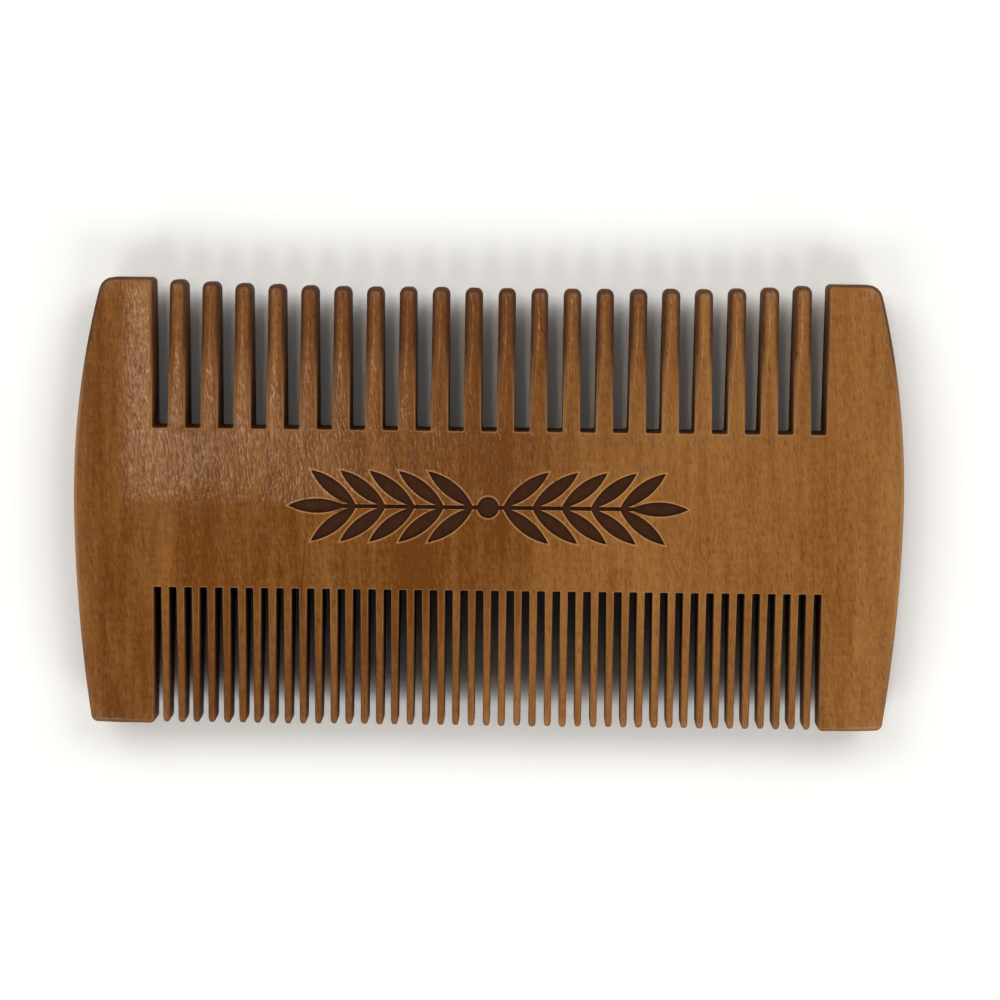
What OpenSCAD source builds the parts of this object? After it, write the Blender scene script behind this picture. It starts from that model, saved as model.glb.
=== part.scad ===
// Double-sided beard comb, sawn from one wooden blank: coarse teeth on one long side, fine teeth
// on the other, a solid spine between them and a broad guard at each end.
// Frame: +X along the comb, +Y towards the coarse teeth, +Z up through the thickness.
// Origin: middle of the underside, where the comb rests on its flat face.
// The real comb is a single piece of wood. Each named region is a solid of its own that meets its
// neighbours face to face, so every gap between two teeth stays open.

/* [Blank] */
// Length over both end guards, at their widest
comb_length = 100; // [90:1:120]
// Height over the end guards, from the coarse side to the fine side
comb_height = 54; // [45:1:65]
// Thickness at the middle of the faces
comb_thickness = 8; // [6.5:0.25:10]
// Radius of the crown that thins both faces towards the tooth tips
crown_radius = 197; // [160:1:320]
// Width of the flat strip along the middle of each face
face_flat_width = 9; // [5:0.5:14]
// Rounding of the faces into the tips and into the guards' ends
end_edge_radius = 0.8; // [0.3:0.1:1.2]

/* [End guards] */
// Least width of a guard at its widest point
guard_width = 9.5; // [7:0.5:12]
// How far above the middle the comb is widest
widest_y = 1; // [-3:0.5:4]
// Radius of a guard's outer side above its widest point
upper_side_radius = 100; // [85:1:200]
// Radius of a guard's outer side below its widest point
lower_side_radius = 200; // [120:1:400]
// Corner radius of a guard, outside, on the coarse side
coarse_corner_radius = 1.3; // [0.4:0.1:2]
// Corner radius of a guard, outside, on the fine side
fine_corner_radius = 0.8; // [0.4:0.1:2]
// Corner radius of a guard beside the teeth
inner_corner_radius = 0.6; // [0.3:0.1:1]
// Distance from a guard's outer side over which its faces roll off
roll_off_length = 6; // [3:0.5:7]
// Radius of that roll-off
roll_off_radius = 12; // [9:1:30]

/* [Coarse teeth] */
// Distance from one coarse tooth to the next
coarse_pitch = 3.94; // [3.2:0.02:4.8]
// Width of a slot between two coarse teeth
coarse_slot = 1.84; // [1.4:0.02:2.3]
// Depth of the coarse slots below the ends of the guards
coarse_slot_depth = 17.9; // [14:0.1:21]
// How far the middle coarse teeth stay short of the guards
coarse_tip_dip = 0.85; // [0:0.05:2]
// How much narrower a coarse tooth is at its tip than at its root
coarse_taper = 0.04; // [0:0.02:0.6]
// Corner radius of a coarse tip
coarse_tip_radius = 0.7; // [0.2:0.05:1]

/* [Fine teeth] */
// Distance from one fine tooth to the next
fine_pitch = 1.848; // [1.54:0.002:2.3]
// Width of a slot between two fine teeth
fine_slot = 0.93; // [0.7:0.01:1.2]
// Depth of the fine slots below the ends of the guards
fine_slot_depth = 16.9; // [14:0.1:20]
// How far the fine teeth stay short of the guards
fine_tip_dip = 0.12; // [0:0.02:1]
// How much narrower a fine tooth is at its tip than at its root
fine_taper = 0.17; // [0:0.01:0.3]
// Corner radius of a fine tip
fine_tip_radius = 0.33; // [0.1:0.01:0.4]

/* [Engraved sprig] */
// Depth of the engraving
engraving_depth = 0.3; // [0.1:0.05:0.6]
// Length of one leaf
leaf_length = 7; // [5:0.5:8]
// Width of one leaf
leaf_width = 1.75; // [1.2:0.05:2]
// Angle between a leaf and the stem
leaf_angle = 38; // [20:1:50]
// Distance from one pair of leaves to the next
leaf_spacing = 3.5; // [3:0.1:4]
// Pairs of leaves on each half of the sprig
leaf_pairs = 5; // [2:1:5]
// Width of the stem
stem_width = 0.5; // [0.3:0.1:1]
// Diameter of the berry in the middle
berry_diameter = 2.6; // [1.5:0.1:4]
// Least distance from the leaf tips to the slots: a narrower spine gets a smaller sprig
sprig_clearance = 1; // [0.5:0.1:3]

/* [Hidden] */
// Two fine teeth share a node, as two separate solids
FINE_PER_NODE = 2;
LARGE_ARC_FN = 360;
SMALL_ARC_FN = 48;
// A corner's circle is a little oversize, so that it crosses both sides and doesn't just touch them
CORNER_OVERSIZE = 1.03;
WOOD = "#8c5c33";
WOOD_PALE = "#99683c";
WOOD_DARK = "#83542c";

half_length = comb_length / 2;
half_height = comb_height / 2;
least_field = comb_length - 2 * guard_width;
coarse_count = floor((least_field - coarse_slot) / coarse_pitch);
fine_count = floor((least_field - fine_slot) / fine_pitch);
coarse_field = coarse_count * coarse_pitch + coarse_slot;
fine_field = fine_count * fine_pitch + fine_slot;
seam_x = min(coarse_field, fine_field) / 2;
coarse_root_y = half_height - coarse_slot_depth;
fine_root_y = half_height - fine_slot_depth;
coarse_width = coarse_pitch - coarse_slot;
fine_width = fine_pitch - fine_slot;
// The crown's circle is centred so that it meets the flat strip at the strip's two edges
flat_rise = crown_radius - sqrt(pow(crown_radius, 2) - pow(face_flat_width / 2, 2));
crown_centre_z = comb_thickness + flat_rise - crown_radius;
roll_off_x = half_length - roll_off_length;
// How far the leaves reach from the stem, and how much smaller that is on a narrow spine
leaf_reach = leaf_length * sin(leaf_angle) + leaf_width / 2;
sprig_scale = min(1, (min(coarse_root_y, fine_root_y) - sprig_clearance) / leaf_reach);
fine_node_count = ceil(fine_count / FINE_PER_NODE);

function two_digits(n) = n < 10 ? str("0", n) : str(n);
function coarse_name(i) = str("coarse_tooth_", two_digits(i + 1));
function fine_name(i) = str("fine_teeth_", two_digits(i + 1));
function tooth_x(i, count, pitch) = (i - (count - 1) / 2) * pitch;
function unit(v) = v / norm(v);

// A fillet joins an arc to a straight end. This is the distance, along the end, from the arc's
// centre to the fillet's centre, where end_distance runs from the arc's centre to the end.
function fillet_shift(arc_r, end_distance, r) = sqrt(pow(arc_r - r, 2) - pow(end_distance - r, 2));

// The coarse tips lie on a shallow hollow that climbs to the guards at both ends
function coarse_tip_y(x) = half_height - coarse_tip_dip * (1 - pow(2 * x / coarse_field, 4));

// Takes the corner off a flat outline: a and b are the unit vectors from the corner's centre,
// which is r inside both sides, straight to those sides
module corner_cut(centre, a, b, r) {
    reach = 2 * r;
    translate(centre) difference() {
        polygon([[0, 0], reach * a, reach * (a + b), reach * b]);
        circle(r * CORNER_OVERSIZE, $fn = SMALL_ARC_FN);
    }
}

// Section across the comb: flat strip in the middle, crowned to both sides, ends rounded
module face_section(reach) {
    corner_z = fillet_shift(crown_radius, reach, end_edge_radius);
    corner = [reach - end_edge_radius, crown_centre_z + corner_z];
    crown_side = unit(corner - [0, crown_centre_z]);
    difference() {
        intersection() {
            translate([-reach, 0]) square([2 * reach, comb_thickness]);
            translate([0, crown_centre_z]) circle(crown_radius, $fn = LARGE_ARC_FN);
            translate([0, comb_thickness - crown_centre_z]) circle(crown_radius, $fn = LARGE_ARC_FN);
        }
        for (side = [0, 1], face = [0, 1])
            translate([0, face * comb_thickness]) mirror([0, face]) mirror([side, 0])
                corner_cut(corner, [1, 0], crown_side, end_edge_radius);
    }
}

// The space between the two crowned faces, out to reach on both sides of the middle
module faces(reach) {
    rotate([90, 0, 90]) linear_extrude(comb_length, center = true) face_section(reach);
}

// The space between the two faces where they roll off towards the outer sides of the guards
module rolled_ends() {
    rotate([90, 0, 0]) linear_extrude(comb_height, center = true) {
        translate([-roll_off_x, 0]) square([2 * roll_off_x, comb_thickness]);
        for (side = [-1, 1]) intersection() {
            translate([side * roll_off_x, comb_thickness - roll_off_radius])
                circle(roll_off_radius, $fn = LARGE_ARC_FN);
            translate([side * roll_off_x, roll_off_radius])
                circle(roll_off_radius, $fn = LARGE_ARC_FN);
        }
    }
}

// One outer quarter of a guard, for y from the widest point to end_y, without its corner
module guard_side(side_radius, widest, end_y) {
    intersection() {
        translate([0, widest]) square([half_length, end_y - widest]);
        translate([half_length - side_radius, widest]) circle(side_radius, $fn = LARGE_ARC_FN);
    }
}

// Rounds a guard's outer corner, between its side arc and its end
module guard_corner(side_radius, widest, end_y, r) {
    arc_centre = [half_length - side_radius, widest];
    centre = [arc_centre.x + fillet_shift(side_radius, end_y - widest, r), end_y - r];
    corner_cut(centre, [0, 1], unit(centre - arc_centre), r);
}

// Plan of the guard at +X, from the seam with the spine outwards, with its outer corners left on
module guard_plan() {
    difference() {
        union() {
            guard_side(upper_side_radius, widest_y, half_height);
            mirror([0, 1]) guard_side(lower_side_radius, -widest_y, half_height);
        }
        translate([0, -half_height]) square([seam_x, comb_height]);
        tooth_space(coarse_field, coarse_root_y);
        mirror([0, 1]) tooth_space(fine_field, fine_root_y);
    }
}

// The field that one row of teeth stands in, with the guard's corner beside it rounded
module tooth_space(field, root_y) {
    translate([0, root_y]) square([field / 2, half_height - root_y]);
    corner_cut([field / 2 + inner_corner_radius, half_height - inner_corner_radius],
               [-1, 0], [0, 1], inner_corner_radius);
}

module end_guard() {
    difference() {
        intersection() {
            linear_extrude(comb_thickness) guard_plan();
            faces(half_height);
            rolled_ends();
        }
        linear_extrude(comb_thickness) {
            guard_corner(upper_side_radius, widest_y, half_height, coarse_corner_radius);
            mirror([0, 1]) guard_corner(lower_side_radius, -widest_y, half_height, fine_corner_radius);
        }
    }
}

module end_guard_right() {
    color(WOOD) end_guard();
}

module end_guard_left() {
    color(WOOD) mirror([1, 0, 0]) end_guard();
}

// A pointed leaf lying along +X from the origin: two equal arcs that cross at its ends
module leaf() {
    arc_r = (pow(leaf_length, 2) + pow(leaf_width, 2)) / (4 * leaf_width);
    intersection_for(side = [-1, 1])
        translate([leaf_length / 2, side * (arc_r - leaf_width / 2)]) circle(arc_r, $fn = LARGE_ARC_FN);
}

// Two branches that leave a round berry in opposite directions
module sprig_plan() {
    branch_end = leaf_spacing * leaf_pairs;
    circle(d = berry_diameter, $fn = SMALL_ARC_FN);
    translate([-branch_end, -stem_width / 2]) square([2 * branch_end, stem_width]);
    for (side = [0, 1]) mirror([side, 0]) {
        translate([branch_end - stem_width, 0]) leaf();
        for (i = [1:leaf_pairs], turn = [-1, 1])
            translate([leaf_spacing * (i - 0.5), 0]) rotate(turn * leaf_angle) leaf();
    }
}

module spine() {
    color(WOOD_PALE) difference() {
        intersection() {
            translate([-seam_x, -fine_root_y, 0])
                cube([2 * seam_x, fine_root_y + coarse_root_y, comb_thickness]);
            faces(half_height);
        }
        translate([0, 0, comb_thickness - engraving_depth])
            linear_extrude(2 * engraving_depth) scale(sprig_scale) sprig_plan();
    }
}

// A tooth along +Y from its root, straight-sided with a slight taper and a rounded tip
module tooth(x, root_y, tip_y, width, taper, tip_radius) {
    tip_half = (width - taper) / 2;
    r = min(tip_radius, 0.9 * tip_half);
    round_y = tip_y - r;
    intersection() {
        translate([x, 0, 0]) linear_extrude(comb_thickness) difference() {
            polygon([
                [-width / 2, root_y], [width / 2, root_y], [tip_half, round_y],
                [tip_half, tip_y], [-tip_half, tip_y], [-tip_half, round_y]
            ]);
            for (side = [-1, 1])
                corner_cut([side * (tip_half - r), round_y], [side, 0], [0, 1], r);
        }
        faces(tip_y);
    }
}

module coarse_tooth(i) {
    x = tooth_x(i, coarse_count, coarse_pitch);
    color(WOOD) tooth(x, coarse_root_y, coarse_tip_y(x), coarse_width, coarse_taper, coarse_tip_radius);
}

module fine_tooth(i) {
    x = tooth_x(i, fine_count, fine_pitch);
    color(WOOD_DARK) mirror([0, 1, 0])
        tooth(x, fine_root_y, half_height - fine_tip_dip, fine_width, fine_taper, fine_tip_radius);
}

module fine_teeth(n) {
    first = n * FINE_PER_NODE;
    last = min(first + FINE_PER_NODE, fine_count) - 1;
    for (i = [first:last]) fine_tooth(i);
}

spine();
end_guard_left();
end_guard_right();
for (i = [0:coarse_count - 1]) coarse_tooth(i);
for (i = [0:fine_node_count - 1]) fine_teeth(i);
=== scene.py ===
import math

import bpy
import numpy as np
from bpy.props import FloatProperty, FloatVectorProperty, IntProperty, PointerProperty
from mathutils import Matrix, Vector
from mathutils.geometry import delaunay_2d_cdt


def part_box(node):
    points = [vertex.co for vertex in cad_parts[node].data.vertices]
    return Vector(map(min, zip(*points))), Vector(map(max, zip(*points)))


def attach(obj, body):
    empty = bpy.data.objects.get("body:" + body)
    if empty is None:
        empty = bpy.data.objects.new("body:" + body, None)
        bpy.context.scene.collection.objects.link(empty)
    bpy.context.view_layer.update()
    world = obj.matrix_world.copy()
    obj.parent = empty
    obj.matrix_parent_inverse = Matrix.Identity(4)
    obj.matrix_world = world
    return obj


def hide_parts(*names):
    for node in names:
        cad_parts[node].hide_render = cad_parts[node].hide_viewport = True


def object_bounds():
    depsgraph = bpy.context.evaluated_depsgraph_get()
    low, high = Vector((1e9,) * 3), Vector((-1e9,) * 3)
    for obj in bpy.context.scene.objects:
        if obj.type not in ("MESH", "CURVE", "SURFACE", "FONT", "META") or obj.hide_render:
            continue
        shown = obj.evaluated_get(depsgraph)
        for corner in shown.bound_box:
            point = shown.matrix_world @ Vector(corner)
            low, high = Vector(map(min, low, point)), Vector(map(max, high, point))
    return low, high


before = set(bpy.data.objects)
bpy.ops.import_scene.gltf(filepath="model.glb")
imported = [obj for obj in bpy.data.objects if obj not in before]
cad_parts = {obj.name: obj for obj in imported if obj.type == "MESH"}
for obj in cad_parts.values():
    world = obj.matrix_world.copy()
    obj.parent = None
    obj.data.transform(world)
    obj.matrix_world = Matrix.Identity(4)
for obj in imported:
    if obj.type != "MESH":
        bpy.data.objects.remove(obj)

bl_info = {
    "name": "Beard comb",
    "version": (1, 0, 0),
    "blender": (4, 5, 0),
    "location": "3D View > Sidebar > Beard comb",
    "description": "Builds a double-sided wooden beard comb around its packed frame",
    "category": "Add Mesh",
}

# Everything is in metres, in the comb's own frame: +X along the comb, +Y towards the coarse teeth,
# +Z up through the thickness, origin in the middle of the underside.
MM = 0.001
CAD_LOW, CAD_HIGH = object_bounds()

# Faces round a quarter turn of an eased edge, and round a corner of the outline
EASE_STEPS = 5
CORNER_STEPS = 4
# Distance between points along the joints, the guards' edges and the inside of a face
JOINT_STEP = 1.2 * MM
EDGE_STEP = 1.25 * MM
GRID_STEP = 1.25 * MM
# How far from a rounded corner its outline starts again, as a multiple of the fillet's radius
FILLET_REACH = 1.25
# Points on each side arc of a guard, and round a leaf's edge and the berry
SIDE_STEPS = 20
LEAF_STEPS = 14
BERRY_STEPS = 40
# Distance within which the filling of a face takes two points for one, and the same in decimals
SAME_POINT = 1e-8
SAME_DECIMALS = 8
# Largest turn between two faces that still shades as one smooth surface
SMOOTH_ANGLE = math.radians(42)

# The camera looks down from above the coarse teeth, turned a few degrees off the vertical
CAMERA_PLACE = (4.56 * MM, 34.85 * MM, 346 * MM)
CAMERA_TURN = (math.radians(-5.723), math.radians(0.597), math.radians(0.676))
CAMERA_LENS = 102.2
CAMERA_NEAR = 10 * MM
# Each softbox: name, place, size, brightness and colour. The first is the window that gives the
# face its sheen. Four stand at the corners, clear of what the slots and the rolled-off ends face,
# and a faint one behind lights the walls of the coarse slots.
SOFTBOXES = (
    ("window", (-0.19, 0.10, 1.0), (0.10, 0.32), 10.0, "#ffead6"),
    ("back left", (-0.75, 0.7, 0.85), (0.8, 0.8), 3.5, "#ffffff"),
    ("back right", (0.75, 0.7, 0.85), (0.8, 0.8), 4.0, "#ffffff"),
    ("back", (-0.1, 0.95, 0.85), (0.9, 0.6), 1.7, "#ffffff"),
    ("front left", (-0.7, -0.95, 0.8), (1.0, 0.7), 3.9, "#ffffff"),
    ("front right", (0.7, -0.95, 0.8), (1.0, 0.7), 4.3, "#ffffff"),
)
FILL_STRENGTH = 0.1
# Half the floor's width, and how far it lies below the comb so that the two don't share a plane
FLOOR_HALF = 10.0
FLOOR_GAP = 0.02 * MM


def linear(hex_colour):
    """An sRGB hex colour such as "#7d5027" as linear red, green, blue and alpha."""
    channels = [int(hex_colour[i:i + 2], 16) / 255 for i in (1, 3, 5)]
    return tuple(c / 12.92 if c <= 0.04045 else ((c + 0.055) / 1.055) ** 2.4 for c in channels) + (1.0,)


def colour_property(name, description, hex_colour):
    """A colour that a user can change, with its default given as sRGB hex."""
    return FloatVectorProperty(name=name, description=description, subtype="COLOR", size=4,
                               min=0.0, max=1.0, default=linear(hex_colour))


def length_property(name, description, millimetres):
    """A length that a user can change, with its default given in millimetres."""
    return FloatProperty(name=name, description=description, unit="LENGTH", precision=5,
                         min=0.0, default=millimetres * MM)


class CombShape(bpy.types.PropertyGroup):
    """Sizes of the hand-finished surfaces, which the frame doesn't hold."""
    ridge: length_property("Ridge", "Half width of the ridge where the halves of a face meet", 0.6)
    slope: FloatProperty(name="Slope", description="Slope of each half of a face at the ridge",
                         min=0.0, max=0.2, default=0.034)
    crown_radius: length_property("Crown radius", "Radius that thins the faces towards the tips", 420)
    roll_length: length_property("Roll-off length", "Width of the roll-off at the guards' sides", 7)
    roll_radius: length_property("Roll-off radius", "Radius of the roll-off at the guards' sides", 15.2)
    stub: length_property("Stub", "Length of each tooth root that belongs to the spine's piece", 0.4)
    coarse_ease: length_property("Coarse edge", "Rounding of the edges round the coarse slots", 0.28)
    fine_ease: length_property("Fine edge", "Rounding of the edges round the fine slots", 0.18)
    inner_ease: length_property("Inner edge", "Rounding of the guards' inner edges at the tips", 0.45)
    outer_ease: length_property("Outer edge", "Rounding of the guards' outer edges", 0.6)
    coarse_gullet: length_property("Coarse gullet", "Corner radius at the root of a coarse slot", 0.22)
    fine_gullet: length_property("Fine gullet", "Corner radius at the root of a fine slot", 0.14)
    coarse_corner: length_property("Coarse corner", "Guard's outer corner on the coarse side", 1.8)
    fine_corner: length_property("Fine corner", "Guard's outer corner on the fine side", 0.8)
    inner_corner: length_property("Inner corner", "Guard's corners beside the teeth", 0.6)
    widest_y: length_property("Widest point", "Distance above the middle where the comb is widest", 1)
    upper_side: length_property("Upper side radius", "Guard's side above its widest point", 100)
    lower_side: length_property("Lower side radius", "Guard's side below its widest point", 200)


class ToothShape(bpy.types.PropertyGroup):
    """How the teeth of one row are finished, towards their tips."""
    tip_width: length_property("Tip width", "Width of a tooth just below its rounded tip", 0.86)
    ease_length: length_property("Ease length", "Distance over which a tooth's edges grow round", 9)
    tip_corner: length_property("Tip corner", "Rounding of the tip, seen from above", 0.31)
    tip_rounding: length_property("Tip rounding", "Rounding of the tip, seen from the side", 0.75)
    wander: length_property("Wander", "How far the teeth stray from true, by hand finishing", 0.04)


class SprigShape(bpy.types.PropertyGroup):
    """Sizes of the laser-engraved sprig on the upper face."""
    depth: length_property("Depth", "Depth of the engraving", 0.3)
    halo: length_property("Halo", "Width of the paler ring that the laser leaves round a stroke", 0.24)
    leaf_length: length_property("Leaf length", "Length of one leaf", 7)
    leaf_width: length_property("Leaf width", "Width of one leaf", 1.75)
    leaf_spacing: length_property("Leaf spacing", "Distance from one pair of leaves to the next", 3.5)
    stem_width: length_property("Stem width", "Width of the stem", 0.5)
    berry: length_property("Berry", "Diameter of the berry in the middle", 2.6)
    leaf_angle: FloatProperty(name="Leaf angle", description="Angle between a leaf and the stem",
                              subtype="ANGLE", default=math.radians(38))
    leaf_pairs: IntProperty(name="Leaf pairs", description="Pairs of leaves on each half",
                            default=5, min=1)


class CombFinish(bpy.types.PropertyGroup):
    """Colours of the wood, the engraving and the floor."""
    heartwood: colour_property("Heartwood", "The darker wood of the broad bands", "#633810")
    sapwood: colour_property("Sapwood", "The paler wood of the broad bands", "#9b6a38")
    # Also the colour of the painted shade on rounded edges towards the coarse tips and on steep walls
    fibre_and_painted_shade: colour_property("Fibre", "The dark pores and thirsty edges", "#3f220c")
    char: colour_property("Char", "Laser-charred wood", "#2c150a")
    # Also the colour of a painted highlight, partly sander wear, on rounded edges beside the roots
    pale: colour_property("Pale", "Broken edges, and wood beside the charred strokes", "#b08050")
    floor: colour_property("Floor", "The pale floor", "#f0f0ee")


class CombSettings(bpy.types.PropertyGroup):
    """All that a user can change."""
    shape: PointerProperty(type=CombShape)
    coarse: PointerProperty(type=ToothShape)
    fine: PointerProperty(type=ToothShape)
    sprig: PointerProperty(type=SprigShape)
    finish: PointerProperty(type=CombFinish)


# ---------------------------------------------------------------- sizes from the frame

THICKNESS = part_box("spine")[1].z
HALF_LENGTH = CAD_HIGH.x
HALF_HEIGHT = CAD_HIGH.y


class Row:
    """One row of teeth: its side of the comb, its pitch and width, and where its roots lie."""

    def __init__(self, prefix, side, teeth_per_node):
        self.nodes = sorted(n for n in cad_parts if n.startswith(prefix))
        low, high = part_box(self.nodes[0])
        self.side = side
        self.per_node = teeth_per_node
        self.pitch = (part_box(self.nodes[1])[0].x - low.x) / teeth_per_node
        self.width = high.x - low.x - (teeth_per_node - 1) * self.pitch
        self.first_x = low.x + self.width / 2
        last_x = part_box(self.nodes[-1])[1].x - self.width / 2
        self.count = round((last_x - self.first_x) / self.pitch) + 1
        self.root = min(abs(low.y), abs(high.y))
        self.half_field = -self.first_x + self.pitch - self.width / 2


COARSE = Row("coarse_tooth_", 1, 1)
FINE = Row("fine_teeth_", -1, 2)


# ---------------------------------------------------------------- helpers

def add(tree, kind, inputs=(), **settings):
    """Adds one node to a tree, with its settings. An input is a number, a colour, a socket or a node,
    whose first output is then linked."""
    node = tree.nodes.new(kind)
    for name, value in settings.items():
        setattr(node, name, value)
    pairs = inputs.items() if isinstance(inputs, dict) else enumerate(inputs)
    for key, value in pairs:
        if isinstance(value, bpy.types.Node):
            value = value.outputs[0]
        if isinstance(value, bpy.types.NodeSocket):
            tree.links.new(value, node.inputs[key])
        else:
            node.inputs[key].default_value = value
    return node


def smooth(t):
    """Rises from 0 to 1 with level ends while t goes from 0 to 1."""
    t = min(max(t, 0.0), 1.0)
    return t * t * (3 - 2 * t)


def face_drop(shape, x, y):
    """How far the face lies below its flat middle: each half slopes away from the ridge along the
    middle, ever more towards the tips, and both ends roll off."""
    ridge = shape.slope * (math.hypot(y, shape.ridge) - shape.ridge)
    side = max(abs(x) - HALF_LENGTH + shape.roll_length, 0.0)
    return ridge + y * y / (2 * shape.crown_radius) + side * side / (2 * shape.roll_radius)


def finish_piece(name, mesh, nodes, materials=()):
    """Makes an object of a mesh, shades it by its true edges, hangs it under the root body and hides the
    nodes it stands for.
    """
    obj = bpy.data.objects.new(name, mesh)
    bpy.context.scene.collection.objects.link(obj)
    for material in materials:
        mesh.materials.append(material)
    mesh.shade_smooth()
    mesh.set_sharp_from_angle(angle=SMOOTH_ANGLE)
    normals = obj.modifiers.new("Flat faces stay flat", "WEIGHTED_NORMAL")
    normals.keep_sharp = True
    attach(obj, "root")
    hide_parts(*nodes)


# ---------------------------------------------------------------- outlines of the spine and guards

class Corner:
    """A corner of an outline: its place, its fillet radius, and whether the side that leaves it
    is a joint with the next piece of wood rather than a free edge."""

    def __init__(self, x, y, fillet=0.0, joint=False):
        self.at = Vector((x, y))
        self.fillet = fillet
        self.joint = joint


def divided(start, end, step, joint=False, fillet=0.0):
    """Corners from start towards end, about step apart, without the end. The fillet is the first's."""
    start, end = Vector(start), Vector(end)
    count = max(1, round((end - start).length / step))
    return [Corner(*start.lerp(end, i / count), 0.0 if i else fillet, joint) for i in range(count)]


def arc(centre, radius, first_y, last_y, steps):
    """Corners on the right side of a circle, from first_y to last_y, without the last."""
    first = math.asin((first_y - centre[1]) / radius)
    last = math.asin((last_y - centre[1]) / radius)
    turns = [first + (last - first) * i / steps for i in range(steps)]
    return [Corner(centre[0] + radius * math.cos(t), centre[1] + radius * math.sin(t)) for t in turns]


def trace(corners):
    """The outline's points with its fillets cut, as (place, side that leaves it is a joint)."""
    points = []
    for i, corner in enumerate(corners):
        if not corner.fillet:
            points.append((corner.at, corner.joint))
            continue
        back = (corners[i - 1].at - corner.at).normalized()
        on = (corners[(i + 1) % len(corners)].at - corner.at).normalized()
        half_angle = back.angle(on) / 2
        centre = corner.at + (back + on).normalized() * corner.fillet / math.sin(half_angle)
        start = corner.at + back * corner.fillet / math.tan(half_angle) - centre
        turn = start.angle_signed(corner.at + on * corner.fillet / math.tan(half_angle) - centre)
        for step in range(CORNER_STEPS + 1):
            spoke = start.copy()
            spoke.rotate(Matrix.Rotation(-turn * step / CORNER_STEPS, 2))
            points.append((centre + spoke, False))
    return points


def slotted_side(row, gullet, stub, joint_x):
    """The spine's outline along one row of teeth, as if the row pointed towards -Y: from the joint
    at -joint_x to the joint at joint_x, round every gullet and across every tooth's stub."""
    root, end = -row.root, -row.root - stub
    edge = row.half_field
    corners = [Corner(-joint_x, end, joint=True), Corner(-edge, end), Corner(-edge, root, gullet)]
    for i in range(row.count):
        left = row.first_x + i * row.pitch - row.width / 2
        right = left + row.width
        corners += [Corner(left, root, gullet), Corner(left, end, joint=True)]
        corners += [Corner(right, end), Corner(right, root, gullet)]
    corners += [Corner(edge, root, gullet), Corner(edge, end, joint=True)]
    return corners


def guard_joint_x(shape):
    """Where the guards' pieces meet the spine's, just outside the widest slot."""
    return max(COARSE.half_field, FINE.half_field) + shape.stub


def spine_outline(shape):
    """The spine with a stub of every tooth, anticlockwise from its lower left end."""
    joint_x = guard_joint_x(shape)
    bottom = slotted_side(FINE, shape.fine_gullet, shape.stub, joint_x)
    top = slotted_side(COARSE, shape.coarse_gullet, shape.stub, joint_x)
    for corner in top:
        corner.at = -corner.at
    low, high = bottom[0].at.y, top[0].at.y
    right = divided((joint_x, low), (joint_x, high), JOINT_STEP, joint=True)
    left = divided((-joint_x, high), (-joint_x, low), JOINT_STEP, joint=True)
    return bottom + right + top + left


def guard_outline(shape):
    """The right guard, anticlockwise from the top of its joint with the spine."""
    joint_x = guard_joint_x(shape)
    high, low = COARSE.root + shape.stub, -FINE.root - shape.stub
    fine_x, coarse_x = FINE.half_field, COARSE.half_field
    upper = (HALF_LENGTH - shape.upper_side, shape.widest_y)
    lower = (HALF_LENGTH - shape.lower_side, shape.widest_y)
    upper_x = upper[0] + math.sqrt(shape.upper_side ** 2 - (HALF_HEIGHT - shape.widest_y) ** 2)
    lower_x = lower[0] + math.sqrt(shape.lower_side ** 2 - (HALF_HEIGHT + shape.widest_y) ** 2)
    corners = divided((joint_x, high), (joint_x, low), JOINT_STEP, joint=True)
    corners.append(Corner(joint_x, low, joint=True))
    corners += divided((fine_x, low), (fine_x, -HALF_HEIGHT), EDGE_STEP)
    corners += divided((fine_x, -HALF_HEIGHT), (lower_x, -HALF_HEIGHT), EDGE_STEP,
                       fillet=shape.inner_corner)
    side = arc(lower, shape.lower_side, -HALF_HEIGHT, shape.widest_y, SIDE_STEPS)
    side[0].fillet = shape.fine_corner
    corners += side
    corners += arc(upper, shape.upper_side, shape.widest_y, HALF_HEIGHT, SIDE_STEPS)
    corners += divided((upper_x, HALF_HEIGHT), (coarse_x, HALF_HEIGHT), EDGE_STEP,
                       fillet=shape.coarse_corner)
    corners += divided((coarse_x, HALF_HEIGHT), (coarse_x, high), EDGE_STEP,
                       fillet=shape.inner_corner)
    corners.append(Corner(coarse_x, high, joint=True))
    return clear_of_fillets(corners)


def clear_of_fillets(corners):
    """The same corners, without those so near a rounded one that its fillet cuts them off."""
    rounded = [c for c in corners if c.fillet]
    return [c for c in corners
            if c.fillet or all((c.at - r.at).length > FILLET_REACH * r.fillet for r in rounded)]


# ---------------------------------------------------------------- a plate of wood from its outline

def ease_directions(points):
    """For each outline point the inward direction and reach of its eased edge, per unit of radius.
    It is None where both sides are joints, and runs along the joint where one side is."""
    directions = []
    for i, (at, joint) in enumerate(points):
        (before, joint_before), (after, _) = points[i - 1], points[(i + 1) % len(points)]
        into, out = (at - before).normalized(), (after - at).normalized()
        normal_before, normal_after = Vector((-into.y, into.x)), Vector((-out.y, out.x))
        if joint and joint_before:
            directions.append(None)
        elif joint_before:
            directions.append(normal_after)
        elif joint:
            directions.append(normal_before)
        else:
            directions.append((normal_before + normal_after) / (1 + normal_before.dot(normal_after)))
    return directions


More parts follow.
